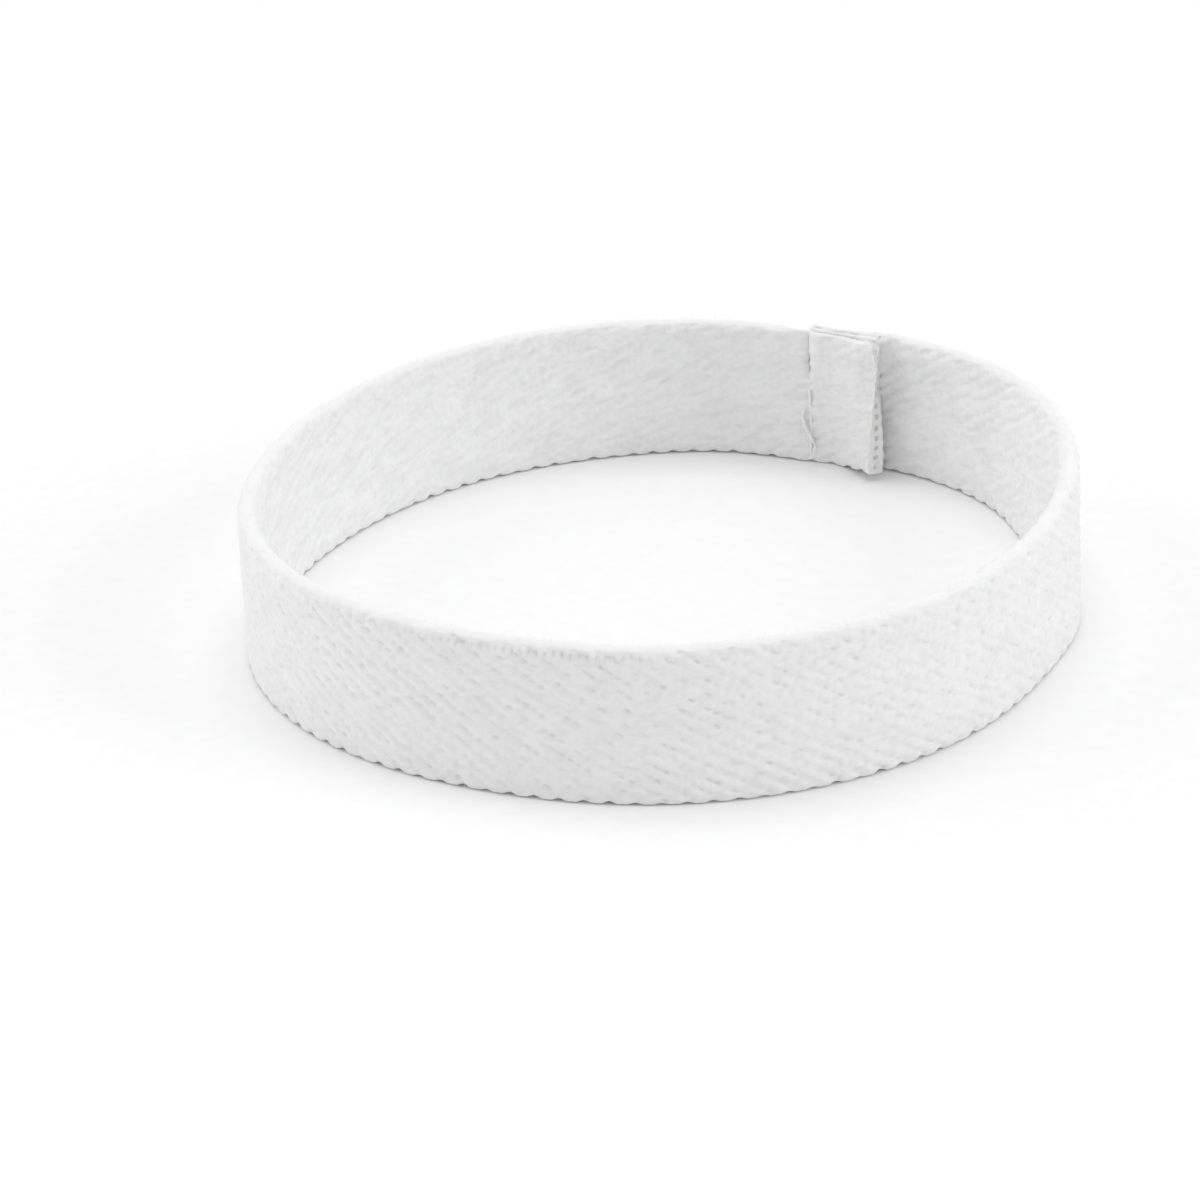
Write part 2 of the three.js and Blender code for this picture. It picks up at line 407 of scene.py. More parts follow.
def lean_at(angle, height):
    """Inset from the strip's leaning, at a height."""
    share = (height - WIDTH / 2) / (WIDTH / 2)
    inset = 0.0
    for middle, spread, lean, whole in LEANS:
        away = np.degrees(angle_between(angle, np.radians(middle)))
        inset = inset + bell(away, 0.0, spread) * (lean * share + whole)
    return inset


def place(along, inset, height):
    """Points in the object's frame, from the distance along the strip, negative to the right of the stitch
    line, the inset into the loop and the height."""
    angle = angle_at(along)
    inward = (inset + lean_at(angle, height))[..., None]
    plan = plan_points(angle) - plan_outward(angle) * inward + PLAN_OFFSET
    return np.concatenate([plan, height[..., None]], axis=-1)


# ---------------------------------------------------------------- seam layers

def soft_ramp(value, softness):
    """value where it is positive and 0 elsewhere, with a rounded corner."""
    return softness * np.log1p(np.exp(np.clip(4 * value / softness, -40, 40))) / 4


def lifted(right, lift):
    slope, start, softness = lift
    return slope * soft_ramp(right - start, softness)


def hump(value, shape):
    height, middle, spread = shape
    return height * bell(value, middle, spread)


def inner_face(right, height):
    """Inset of the innermost surface at the seam: level with the strip, a groove at the stitches, then the
    left end lifts off as a flap, straight and steep at its foot and flatter at its top."""
    share = np.clip(height / WIDTH, 0, 1)
    lift = lerp(lifted(right, LIFT_AT_FOOT), lifted(right, LIFT_AT_TOP), smoothstep(*LIFT_CHANGES, share))
    rolled_back = ROLLED_BACK * smoothstep(*ROLLED_HEIGHTS, share) * smoothstep(*ROLLED_FROM, right)
    in_top_third = smoothstep(*DEEPER_FROM, share) * (1 - smoothstep(*DEEPER_TO, share))
    groove = (GROOVE_DEPTH + GROOVE_DEEPER * in_top_third) * bell(right, 0.0, GROOVE_WIDTH)
    shoulder = hump(right, SHOULDER) * smoothstep(*SHOULDER_HEIGHTS, share)
    dimple = hump(right, DIMPLE) * bell(height, *DIMPLE_HEIGHT)
    return THICKNESS / 2 + lift + shoulder - rolled_back - dimple - groove


def outer_face(right):
    """Inset of the outermost surface at the seam: the right end's fold makes a low bead, then a tuck."""
    tuck = TUCK_DEPTH * smoothstep(*TUCK_FROM, right) * (1 - smoothstep(*TUCK_TO, right))
    return -THICKNESS / 2 - hump(right, BEAD) + tuck


def stack(right, height):
    """Thickness of the seam's layers together."""
    return inner_face(right, height) - outer_face(right)


def left_end(right, height):
    """Centre inset and thickness of the strip's left end."""
    pressed = np.minimum(FLAP_MOST, FLAP_SHARE * stack(right, height))
    thickness = lerp(THICKNESS, pressed, smoothstep(*FLAP_PRESSED_FROM, right))
    return inner_face(right, height) - thickness / 2, thickness


def right_band(right, height):
    """The same for the right end where it is still part of the loop."""
    pressed = np.minimum(THICKNESS, BAND_SHARE * stack(right, height))
    thickness = lerp(pressed, THICKNESS, smoothstep(ALLOWANCE_TOP, BAND_PRESSED_TO, right))
    return outer_face(right) + thickness / 2, thickness


def right_under(right, height):
    """The same for the right end after its fold, between the band and the left end."""
    over, over_thickness = left_end(right, height)
    thickness = np.minimum(UNDER_MOST, UNDER_SHARE * stack(right, height))
    return over - over_thickness / 2 - LAYER_GAP - thickness / 2, thickness


# ---------------------------------------------------------------- weave

def lattice(seed, size):
    return np.random.RandomState(seed).uniform(-1, 1, (size, size))


def value_noise(a, b, seed):
    """Smooth noise between -1 and 1, one feature per unit of a and b."""
    size = 256
    table = lattice(seed, size)
    i, j = np.floor(a).astype(int), np.floor(b).astype(int)
    fa, fb = a - i, b - j
    fa, fb = fa * fa * (3 - 2 * fa), fb * fb * (3 - 2 * fb)

    def at(p, q):
        return table[p % size, q % size]

    low = lerp(at(i, j), at(i + 1, j), fa)
    high = lerp(at(i, j + 1), at(i + 1, j + 1), fa)
    return lerp(low, high, fb)


def cell_random(a, b, seed):
    """A number between -1 and 1 for each whole a and b."""
    size = 512
    return lattice(seed, size)[a.astype(int) % size, b.astype(int) % size]


def dip(turns):
    """0 at whole turns and 1 half way between them."""
    return 0.5 - 0.5 * np.cos(TURN * turns)


def weave(along, height, side):
    """Height of the woven face over the strip's nominal face, and the painted shade of its pits and low
    places (0 to 1).
    """
    def uneven(size, seed):
        return value_noise(along / size[0], height / size[1], seed + side)

    slope, streaked, pitted = FACES[side]
    wander = sum(picks * uneven(size, WANDER_SEED) for picks, size in WANDERS)
    pick = along / PICK + wander
    row = (height - BOTTOM_EDGE) / ROW + 0.5 * wander
    row_index = np.floor(row)
    in_row = row - row_index - 0.5
    from_pit = pick + row_index - 0.5 + REPEAT / 2
    in_repeat = np.mod(from_pit, REPEAT) - REPEAT / 2
    vary = cell_random(np.floor(from_pit / REPEAT), row_index, PIT_SEED + side)
    over_rib, along_rib = in_repeat + in_row, in_repeat - in_row

    pit_and_painted_shade = pitted * bell(over_rib, 0.0, PIT_ACROSS) * bell(along_rib, 0.0, PIT_ALONG)
    pit_and_painted_shade = pit_and_painted_shade * np.clip(PIT_USUAL + PIT_VARIES * vary, 0, PIT_MOST)
    floats = np.cos(math.pi * in_row) ** FLOAT_FULL_ACROSS * dip(in_repeat / REPEAT) ** FLOAT_FULL_ALONG
    ribs = -np.cos(TURN * over_rib / REPEAT)
    across_streaks, along_streaks = slope * pick + row, (pick - slope * row) / STREAK_PICKS
    streaks = streaked * value_noise(across_streaks, along_streaks, STREAK_SEED + side)
    tufts = uneven(TUFT_SIZE, TUFT_SEED)
    upright = np.cos(TURN * pick) * uneven(UPRIGHT_SIZE, UPRIGHT_SEED)
    fine = uneven(FINE_SIZE, FINE_SEED)
    body = uneven(BODY_SIZE, BODY_SEED)
    clear = CLEARNESS[0] + CLEARNESS[1] * uneven(CLEAR_SIZE, CLEAR_SEED)

    woven = FLOAT_RELIEF * (floats - 0.5) * (1 + 0.5 * vary) + RIB_RELIEF * ribs + STREAK_RELIEF * streaks
    fluffy = TUFT_RELIEF * tufts + UPRIGHT_RELIEF * upright
    relief = (clear * woven - PIT_DEPTH * pit_and_painted_shade + (TUFTS_FADE_AT - clear) * fluffy
              + FINE_RELIEF * fine + BODY_RELIEF * body)
    # Painted shade: the pits and the low parts of the tufts, fine fuzz and streaks are darkened in colour
    painted_shade = (PIT_SHADE * pit_and_painted_shade + TUFT_SHADE * np.clip(-tufts, 0, 1) + FINE_SHADE * np.clip(-fine, 0, 1)
            + STREAK_SHADE * np.clip(-streaks, 0, 1))
    return relief, np.clip(painted_shade, 0, 1)


def top_ticks(along, height, is_outer):
    """Short slots between the picks just under the top selvedge, where the edge threads turn. They show most
    on the outer face, left of the loop's front."""
    slot = dip(along / PICK - 0.5) ** TICK_SHARPNESS
    loosest = bell(along, TICKS_AT, TICKS_SPREAD) * is_outer
    uneven = TICKS_UNEVEN * value_noise(along / TICKS_UNEVEN_SIZE, height, TICK_SEED)
    strength = TICKS_ELSEWHERE + (1 - TICKS_ELSEWHERE) * loosest + uneven
    return slot * bell(height, WIDTH - TICKS_BELOW_TOP, TICK_HEIGHT) * strength


def bottom_notches(along):
    """Knitted lower selvedge: one notch in every repeat of the twill. 0 to 1."""
    repeats = along / (PICK * REPEAT)
    notch = np.floor(repeats + 0.5)
    size = NOTCH_USUAL + NOTCH_VARIES * cell_random(notch, notch * 0, NOTCH_SEED)
    return (1 - dip(repeats)) ** NOTCH_SHARPNESS * size


def rounded_edge(across, roundness):
    """Rise of an edge, 0 to 1, and its outward normal, for places across the thickness from 1 to -1."""
    rise = (1 - np.abs(across) ** roundness) ** (1 / roundness)
    slope_u, slope_z = np.sign(across) * np.abs(across) ** (roundness - 1), rise ** (roundness - 1)
    slope = np.hypot(slope_u, slope_z)
    return rise, slope_u / slope, slope_z / slope


def profile():
    """Closed outline of the strip's section, from the outer face's foot up, over and down the inner face.
    Returns the place across as a share of half the thickness, the height, and the outline's normal."""
    face_z = BOTTOM_EDGE + (WIDTH - TOP_EDGE - BOTTOM_EDGE) * np.arange(FACE_POINTS) / (FACE_POINTS - 1)
    even = np.linspace(1, -1, EDGE_STEPS + 2)[1:-1]
    edge_u = even * (1.25 - 0.25 * even ** 2)
    top_z, top_normal_u, top_normal_z = rounded_edge(edge_u, TOP_ROUNDNESS)
    foot_z, foot_normal_u, foot_normal_z = rounded_edge(edge_u, FOOT_ROUNDNESS)
    flat, straight = np.zeros(FACE_POINTS), np.ones(FACE_POINTS)
    u = np.concatenate([straight, edge_u, -straight, -edge_u])
    z = np.concatenate([face_z, WIDTH - TOP_EDGE * (1 - top_z), face_z[::-1], BOTTOM_EDGE * (1 - foot_z)])
    normal_u = np.concatenate([straight, top_normal_u, -straight, -foot_normal_u])
    normal_z = np.concatenate([flat, top_normal_z, flat, -foot_normal_z])
    return u, z, normal_u, normal_z


PROFILE = profile()


def pressed_share(along):
    """1 where the strip's layers are pressed on each other at the seam, and their top edges are squarer."""
    right = np.where(along > ROUND / 2, ROUND - along, -along)
    return smoothstep(*SQUARER_FROM, right) * (1 - smoothstep(*SQUARER_TO, right))


def strip_surface(along):
    """Points of a length of the strip, a row of the grid for each station, the painted shade of each in pits,
    slots, notches and other low places, and its place on the strip. The outer face looks to the right of the
    strip's run."""
    u, z, normal_u, normal_z = (np.broadcast_to(values, along.shape) for values in PROFILE)
    is_outer = u > 0
    centre, thickness = strip_centre(along, z)
    run = unit(np.gradient(centre, axis=0)[..., :2])
    facing = np.stack([run[..., 1], -run[..., 0]], axis=-1)

    on_face = smoothstep(0.0, FACE_FADES, z) * smoothstep(0.0, FACE_FADES, WIDTH - z) * np.abs(normal_u)
    outer_relief, outer_painted_shade = weave(along, z, 0)
    inner_relief, inner_painted_shade = weave(along, z, 1)
    ticks = top_ticks(along, z, is_outer) * np.abs(normal_u)
    notch = bottom_notches(along) * bell(z, 0.0, NOTCH_HEIGHT)
    taper = -hump(z, TOP_TAPER) * np.abs(u)
    edge = np.abs(normal_z) * (EDGE_RIPPLE * np.cos(TURN * along / PICK)
                               + EDGE_UNEVEN * value_noise(along / EDGE_UNEVEN_SIZE, u, EDGE_SEED))
    relief = np.where(is_outer, outer_relief, inner_relief) * on_face - TICK_DEPTH * ticks + (edge + taper)
    # Painted shade of the weave's pits and low places, faded out on the edges
    pit_and_painted_shade = np.where(is_outer, outer_painted_shade, inner_painted_shade) * on_face

    offset = u * (thickness / 2 - NOTCH_NARROWS * notch) + normal_u * relief
    drift = DRIFT * value_noise(along / DRIFT_SIZE, along * 0 + 0.5, DRIFT_SEED)
    points = centre.copy()
    points[..., :2] += facing * offset[..., None]
    points[..., 2] += normal_z * relief + NOTCH_RISE * notch + drift * smoothstep(0.0, WIDTH, z)
    points[..., 2] += SQUARER * pressed_share(along) * (WIDTH - z) * (normal_z > 0)
    # Painted shade: the slots under the top edge and the notches along the foot are darkened in colour as
    # well as cut in
    pit_and_painted_shade = np.clip(pit_and_painted_shade + TICK_SHADE * ticks + NOTCH_SHADE * notch, 0, 1)
    return points, pit_and_painted_shade, np.stack([along, z, u], axis=-1)


def loop_centre(along, height):
    """Centre line of the loop, with the right end's pressed stretch before its fold."""
    inset, thickness = right_band(ROUND - along, height)
    return place(along, inset, height), thickness


def foot_raised(height, right, rise):
    """The loose ends' lower corner sits a little off the floor."""
    near_foot = np.clip(1 - height / CORNER_HEIGHT, 0, 1)
    return height + rise * smoothstep(CORNER_FROM, ALLOWANCE_TOP, right) * near_foot


def left_end_centre(along, height):
    inset, thickness = left_end(-along, height)
    return place(along, inset, foot_raised(height, -along, FLAP_CORNER_RISE)), thickness


def right_end_centre(along, height):
    """From the fold back to the right. Distances past the stitch line go round the fold first."""
    past = along - LOOP_ENDS
    at_fold = np.full_like(past, FOLD_AT)
    band_inset, band_thickness = right_band(at_fold, height)
    under_inset, under_thickness = right_under(at_fold, height)
    radius = (under_inset - band_inset) / 2
    turn_length = math.pi * radius
    turn = np.clip(past / turn_length, 0, 1) * math.pi
    straight = np.clip(past - turn_length, 0, None)
    right = FOLD_AT + straight - radius * np.sin(turn)
    layer_inset, layer_thickness = right_under(FOLD_AT + straight, height)
    middle = (under_inset + band_inset) / 2
    in_fold = past < turn_length
    inset = np.where(in_fold, middle - radius * np.cos(turn), layer_inset)
    thickness = np.where(in_fold, lerp(band_thickness, under_thickness, turn / math.pi), layer_thickness)
    return place(-right, inset, foot_raised(height, right, UNDER_CORNER_RISE)), thickness


def strip_centre(along, height):
    """Centre point and thickness anywhere on the strip, from the left end's cut to the right end's."""
    flap_points, flap_thickness = left_end_centre(np.minimum(along, LOOP_STARTS), height)
    loop_points, loop_thickness = loop_centre(along, height)
    under_points, under_thickness = right_end_centre(np.maximum(along, LOOP_ENDS), height)
    on_left, on_right = along < LOOP_STARTS, along > LOOP_ENDS
    points = np.where(on_right[..., None], under_points, loop_points)
    points = np.where(on_left[..., None], flap_points, points)
    return points, np.where(on_left, flap_thickness, np.where(on_right, under_thickness, loop_thickness))


# ---------------------------------------------------------------- meshes

def tube_faces(stations, ring):
    """Quads between closed rings, as index rows."""
    start = np.arange(stations - 1)[:, None] * ring
    here = np.arange(ring)[None, :]
    after = (here + 1) % ring
    corners = [start + here, start + ring + here, start + ring + after, start + after]
    return np.stack(corners, axis=-1).reshape(-1, 4)


def mesh_object(name, points_mm, quads, attributes=None):
    """New object from vertices in millimetres, quads (a corner may repeat, for a triangle) and named vertex
    attributes."""
    keep = quads != np.roll(quads, 1, axis=1)
    loops = quads[keep].astype(np.int32)
    sizes = keep.sum(axis=1).astype(np.int32)
    mesh = bpy.data.meshes.new(name)
    mesh.vertices.add(len(points_mm))
    mesh.vertices.foreach_set("co", (np.asarray(points_mm) * MM).astype(np.float32).ravel())
    mesh.loops.add(len(loops))
    mesh.loops.foreach_set("vertex_index", loops)
    mesh.polygons.add(len(sizes))
    mesh.polygons.foreach_set("loop_start", np.concatenate([[0], np.cumsum(sizes)[:-1]]).astype(np.int32))
    mesh.polygons.foreach_set("use_smooth", np.ones(len(sizes), bool))
    for key, values in (attributes or {}).items():
        kind, field = ("FLOAT_VECTOR", "vector") if values.ndim == 2 else ("FLOAT", "value")
        attribute = mesh.attributes.new(key, kind, "POINT")
        attribute.data.foreach_set(field, values.astype(np.float32).ravel())
    mesh.update(calc_edges=True)
    mesh.validate()
    return linked(bpy.data.objects.new(name, mesh))


def linked(made):
    bpy.context.scene.collection.objects.link(made)
    return made


def sharp_between(mesh, first_cut):
    """The cut faces, the polygons from first_cut on, meet the sides at a sharp edge."""
    count = len(mesh.loops)
    edge_of_loop = np.empty(count, np.int32)
    mesh.loops.foreach_get("edge_index", edge_of_loop)
    starts = np.empty(len(mesh.polygons), np.int32)
    mesh.polygons.foreach_get("loop_start", starts)
    polygon_of_loop = np.searchsorted(starts, np.arange(count), side="right") - 1
    is_cut = polygon_of_loop >= first_cut
    cut_uses = np.bincount(edge_of_loop[is_cut], minlength=len(mesh.edges))
    side_uses = np.bincount(edge_of_loop[~is_cut], minlength=len(mesh.edges))
    sharp = mesh.attributes.get("sharp_edge") or mesh.attributes.new("sharp_edge", "BOOLEAN", "EDGE")
    sharp.data.foreach_set("value", (cut_uses > 0) & (side_uses > 0))


def core_height(index):
    return WIDTH / 2 + (index - (CORE_COUNT - 1) / 2) * CORE_PITCH


def cut_face(outline, run, first_vertex, base, facing_back):
    """Grid across a cut end, with a hollow round each core. Returns new points, their painted shade, and
    quads.
    run is the way into the strip. The outline's first vertex is base, that of the new points first_vertex."""
    rows, columns = FACE_POINTS, EDGE_STEPS
    inner_start = rows + columns
    u = PROFILE[0][rows:inner_start][None, :]
    height = PROFILE[1][:rows][:, None]
    outer = outline[:rows]
    inner = outline[inner_start:inner_start + rows][::-1]
    grid = lerp(outer[:, None], inner[:, None], ((1 - u) / 2)[..., None])
    nearest = np.clip(np.round((height - core_height(0)) / CORE_PITCH), 0, CORE_COUNT - 1)
    away = np.hypot(height - core_height(nearest), u * THICKNESS / 2)
    hollow = 1 - smoothstep(*HOLLOW_EDGE, away / CORE_HALF)
    tufts = value_noise(height / CUT_TUFT_SIZE + 0 * u, u * CUT_TUFTS_ACROSS + 0 * height, CUT_SEED)
    depth = CUT_HOLLOW * hollow + CUT_TUFTS * tufts * (1 - u ** 4)
    grid = grid + run * depth[..., None]

    body = first_vertex + np.arange(rows * columns).reshape(rows, columns)
    left = base + np.arange(rows)[:, None]
    right = base + (inner_start + rows - 1 - np.arange(rows))[:, None]
    lines = np.concatenate([left, body, right], axis=1)
    top = base + np.concatenate([[rows - 1], rows + np.arange(columns), [inner_start]])
    last_inner = inner_start + rows
    foot = base + np.concatenate([[0], last_inner + np.arange(columns)[::-1], [last_inner - 1]])
    lines = np.concatenate([foot[None], lines, top[None]])
    quads = np.stack([lines[:-1, :-1], lines[:-1, 1:], lines[1:, 1:], lines[1:, :-1]], axis=-1).reshape(-1, 4)
    if facing_back:
        quads = quads[:, ::-1]
    # Painted shade: the whole cut face is darkened, and the hollows round the cores more
    return grid.reshape(-1, 3), (HOLLOW_SHADE * hollow + CUT_SHADE).ravel(), quads


def strip_object(name, low, high, cut_shift=None):
    """A length of the strip as a closed mesh. cut_shift moves the places near the low end along the strip.
    The stations beyond the ends only steer the surface there, so that neighbouring lengths meet."""
    count = int(round((high - low) / PICK * SAMPLES_PER_PICK)) + 1
    step = (high - low) / (count - 1)
    along = np.repeat((low + step * np.arange(-1, count + 1))[:, None], len(PROFILE[0]), axis=1)
    if cut_shift is not None:
        near_end = 1 - smoothstep(0, CUT_REACH, np.abs(along - low))
        along = along + cut_shift(PROFILE[0], PROFILE[1]) * near_end
    points, pit_and_painted_shade, place_on_strip = (stations[1:-1] for stations in strip_surface(along))
    ring = points.shape[1]
    sides = tube_faces(count, ring)
    all_points, all_painted_shades = [points.reshape(-1, 3)], [pit_and_painted_shade.ravel()]
    all_places, all_quads = [place_on_strip.reshape(-1, 3)], [sides]
    vertices = count * ring
    for station, inside, facing_back in ((0, 1, True), (count - 1, count - 2, False)):
        run = unit(points[inside].mean(0) - points[station].mean(0))
        cut, painted_shade, cut_quads = cut_face(points[station], run, vertices, station * ring, facing_back)
        all_points.append(cut)
        all_painted_shades.append(painted_shade)
        all_places.append(place_on_strip[station, :1] + cut)
        all_quads.append(cut_quads)
        vertices += len(cut)
    made = mesh_object(name, np.concatenate(all_points), np.concatenate(all_quads),
                       {"pit_and_painted_shade": np.concatenate(all_painted_shades), "strip": np.concatenate(all_places)})
    sharp_between(made.data, len(sides))
    return made, points


# ---------------------------------------------------------------- materials

class Nodes:
    """Short hand for a material's node tree."""

    def __init__(self, name):
        self.material = bpy.data.materials.new(name)
        self.material.use_nodes = True
        self.tree = self.material.node_tree
        self.surface = self.tree.nodes["Principled BSDF"]

    def add(self, kind, inputs=None, **settings):
        node = self.tree.nodes.new(kind)
        for key, value in settings.items():
            setattr(node, key, value)
        for key, value in (inputs or {}).items():
            self.put(node.inputs[key], value)
        return node

    def put(self, socket, value):
        if isinstance(value, bpy.types.NodeSocket):
            self.tree.links.new(value, socket)
        else:
            socket.default_value = value

    def finish(self, **inputs):
        """Sets the surface's inputs, named with _ for a space, and returns the material."""
        for key, value in inputs.items():
            self.put(self.surface.inputs[key.replace("_", " ")], value)
        return self.material

    def mix(self, factor, a, b):
        node = self.add("ShaderNodeMix", data_type="RGBA", blend_type="MIX")
        self.put(node.inputs[0], factor)
        self.put(node.inputs[6], a)
        self.put(node.inputs[7], b)
        return node.outputs[2]

    def ramp(self, value, between, to=(0.0, 1.0)):
        limits = {"From Min": between[0], "From Max": between[1], "To Min": to[0], "To Max": to[1]}
        return self.add("ShaderNodeMapRange", {"Value": value, **limits}).outputs["Result"]

    def noise(self, vector, scales, detail):
        """Noise with its own scale along each axis."""
        scaled = self.add("ShaderNodeVectorMath", {0: vector, 1: scales}, operation="MULTIPLY")
        inputs = {"Vector": scaled.outputs["Vector"], "Scale": 1.0, "Detail": detail}
        return self.add("ShaderNodeTexNoise", inputs).outputs["Fac"]

    def bump(self, height, strength, distance):
        node = self.add("ShaderNodeBump", {"Strength": strength, "Distance": distance, "Height": height})
        return node.outputs["Normal"]


def webbing_material():
    """Matt white polyester yarn: fibres along the floats, painted shade in pits, slight cloudiness, a soft
    sheen.
    """
    n = Nodes("white_webbing")
    place_on_strip = n.add("ShaderNodeAttribute", attribute_name="strip").outputs["Vector"]
    pit_and_painted_shade = n.add("ShaderNodeAttribute", attribute_name="pit_and_painted_shade").outputs["Fac"]
    fibres = n.noise(place_on_strip, scales=(3.0, 26.0, 4.0), detail=4.0)
    tufts = n.noise(place_on_strip, scales=(7.0, 11.0, 3.0), detail=3.0)
    clouds = n.noise(place_on_strip, scales=(0.35, 0.5, 1.0), detail=2.0)
    tint = n.mix(n.ramp(clouds, between=(0.3, 0.7)), WEBBING_DULL, WEBBING_CLEAN)
    tint = n.mix(n.ramp(fibres, between=(0.35, 0.75), to=(0.0, 0.22)), tint, FIBRE_BRIGHT)
    # Painted shade: the pits and other low places are mixed towards grey
    tint = n.mix(n.ramp(pit_and_painted_shade, between=(0.0, 1.0), to=(0.0, 0.42)), tint, PAINTED_SHADE_GREY)
    roughness = n.ramp(tufts, between=(0.3, 0.7), to=(0.78, 0.95))
    relief = n.add("ShaderNodeMath", {0: fibres, 1: tufts}, operation="ADD").outputs["Value"]
    return n.finish(Base_Color=tint, Roughness=roughness, Sheen_Weight=0.25, Sheen_Roughness=0.45,
                    Specular_IOR_Level=0.3, Normal=n.bump(relief, strength=0.35, distance=0.00004))


def thread_material():
    """Spun sewing thread, a little brighter than the webbing."""
    n = Nodes("white_thread")
    where = n.add("ShaderNodeTexCoord").outputs["Object"]
    fibres = n.noise(where, scales=(9000.0, 9000.0, 2500.0), detail=3.0)
    tint = n.mix(n.ramp(fibres, between=(0.3, 0.7)), THREAD_DULL, THREAD_BRIGHT)
    return n.finish(Base_Color=tint, Roughness=0.7, Sheen_Weight=0.3,
                    Normal=n.bump(fibres, strength=0.4, distance=0.00003))


def rubber_material():
    """Natural latex thread: dull, slightly yellow grey, with a dusting of talc."""
    n = Nodes("latex_thread")
    where = n.add("ShaderNodeTexCoord").outputs["Object"]
    talc = n.noise(where, scales=(6000.0, 6000.0, 6000.0), detail=3.0)
    tint = n.mix(n.ramp(talc, between=(0.4, 0.7), to=(0.0, 0.6)), LATEX, TALC)
    return n.finish(Base_Color=tint, Roughness=0.62, Normal=n.bump(talc, strength=0.3, distance=0.00002))


def floor_material():
    n = Nodes("pale_floor")
    where = n.add("ShaderNodeTexCoord").outputs["Object"]
    grain = n.noise(where, scales=(900.0, 900.0, 900.0), detail=2.0)
    tint = n.mix(n.ramp(grain, between=(0.3, 0.7)), FLOOR_DULL, FLOOR_BRIGHT)
    return n.finish(Base_Color=tint, Roughness=0.9, Specular_IOR_Level=0.1)


# ---------------------------------------------------------------- tubes

def curve(controls, step):
    """Smooth curve through the control points, with points about a step apart."""
    controls = np.asarray(controls, float)
    ends = np.vstack([2 * controls[0] - controls[1], controls, 2 * controls[-1] - controls[-2]])
    pieces = []
    for before, start, stop, after in zip(ends, ends[1:], ends[2:], ends[3:]):
        count = max(2, int(np.ceil(np.linalg.norm(stop - start) / step)))
        t = np.linspace(0, 1, count, endpoint=False)[:, None]
        squared = (2 * before - 5 * start + 4 * stop - after) * t ** 2
        cubed = (3 * start - before - 3 * stop + after) * t ** 3
        pieces.append(0.5 * (2 * start + (stop - before) * t + squared + cubed))
    pieces.append(controls[-1:])
    return np.concatenate(pieces)


def section_axes(path, reference):
    tangent = unit(np.gradient(path, axis=-2))
    side = unit(np.cross(tangent, reference))
    return side, np.cross(side, tangent)


def tubes(paths, radius, sides, reference, squareness=1.0):
    """Closed tubes along many paths with as many points each, as vertices and quads. There may be a radius
    for each point. A squareness of 1 makes them round, and less makes them squarer."""
    count, stations = paths.shape[:2]
    side, up = section_axes(paths, reference)
    turn = TURN * (np.arange(sides) + 0.5) / sides
    across = np.sign(np.cos(turn)) * np.abs(np.cos(turn)) ** squareness
    above = np.sign(np.sin(turn)) * np.abs(np.sin(turn)) ** squareness
    reach = np.broadcast_to(radius, (count, stations))[..., None, None]
    arms = across[:, None] * side[:, :, None] + above[:, None] * up[:, :, None]
    rings = paths[:, :, None] + reach * arms
    vertices = np.concatenate([rings.reshape(count, -1, 3), paths[:, [0, -1]]], axis=1)
    here = np.arange(sides)
    after = (here + 1) % sides
    last = (stations - 1) * sides
    first_middle = np.full(sides, stations * sides)
    start_cap = np.stack([first_middle, here, after, after], axis=-1)
    end_cap = np.stack([first_middle + 1, last + after, last + here, last + here], axis=-1)
    quads = np.concatenate([tube_faces(stations, sides), start_cap, end_cap])
    shift = np.arange(count) * vertices.shape[1]
    return vertices.reshape(-1, 3), (quads[None] + shift[:, None, None]).reshape(-1, 4)


def joined(parts):
    """One set of vertices and quads from several."""
    vertices, quads, total = [], [], 0
    for part_vertices, part_quads in parts:
        vertices.append(part_vertices)
        quads.append(part_quads + total)
        total += len(part_vertices)
    return np.concatenate(vertices), np.concatenate(quads)


def twisted(path, reference, pitch, open_from=1.0):
    """Plies wound round each other along a path. Past open_from, a share of its length, they part."""
    side, up = section_axes(path, reference)
    run = np.concatenate([[0], np.cumsum(np.linalg.norm(np.diff(path, axis=0), axis=1))])
    wound = np.minimum(run, open_from * run[-1])
    apart = smoothstep(open_from, 1.0, run / run[-1]) if open_from < 1 else np.zeros(len(run))
    reach = (THREAD_SPREAD * (1 + PLIES_PART * apart))[:, None]
    parts = []
    for ply in range(PLIES):
        turn = (TURN * (wound / pitch + ply / PLIES))[:, None]
        centre = path + reach * (np.cos(turn) * side + np.sin(turn) * up)
        parts.append(tubes(centre[None], THREAD_SPREAD * PLY_RADIUS, THREAD_SIDES, reference))
    return joined(parts)


# ---------------------------------------------------------------- pieces

def finished(piece, material):
    piece.data.materials.append(material)


def flap_cut(u, height):
    """How far the left end's cut edge is short of its full length: square at the foot, slanted at the top."""
    share = height / WIDTH
    slant = CUT_SLANT * smoothstep(*SLANT_HEIGHTS, share) * (u + 1) / 2
    ragged = CUT_RAGGED * value_noise(height / CUT_RAGGED_SIZE, u * 0 + 0.5, RAGGED_SEED)
    return slant + ragged + CUT_TOP_CORNER * smoothstep(*TOP_CORNER_HEIGHTS, share)


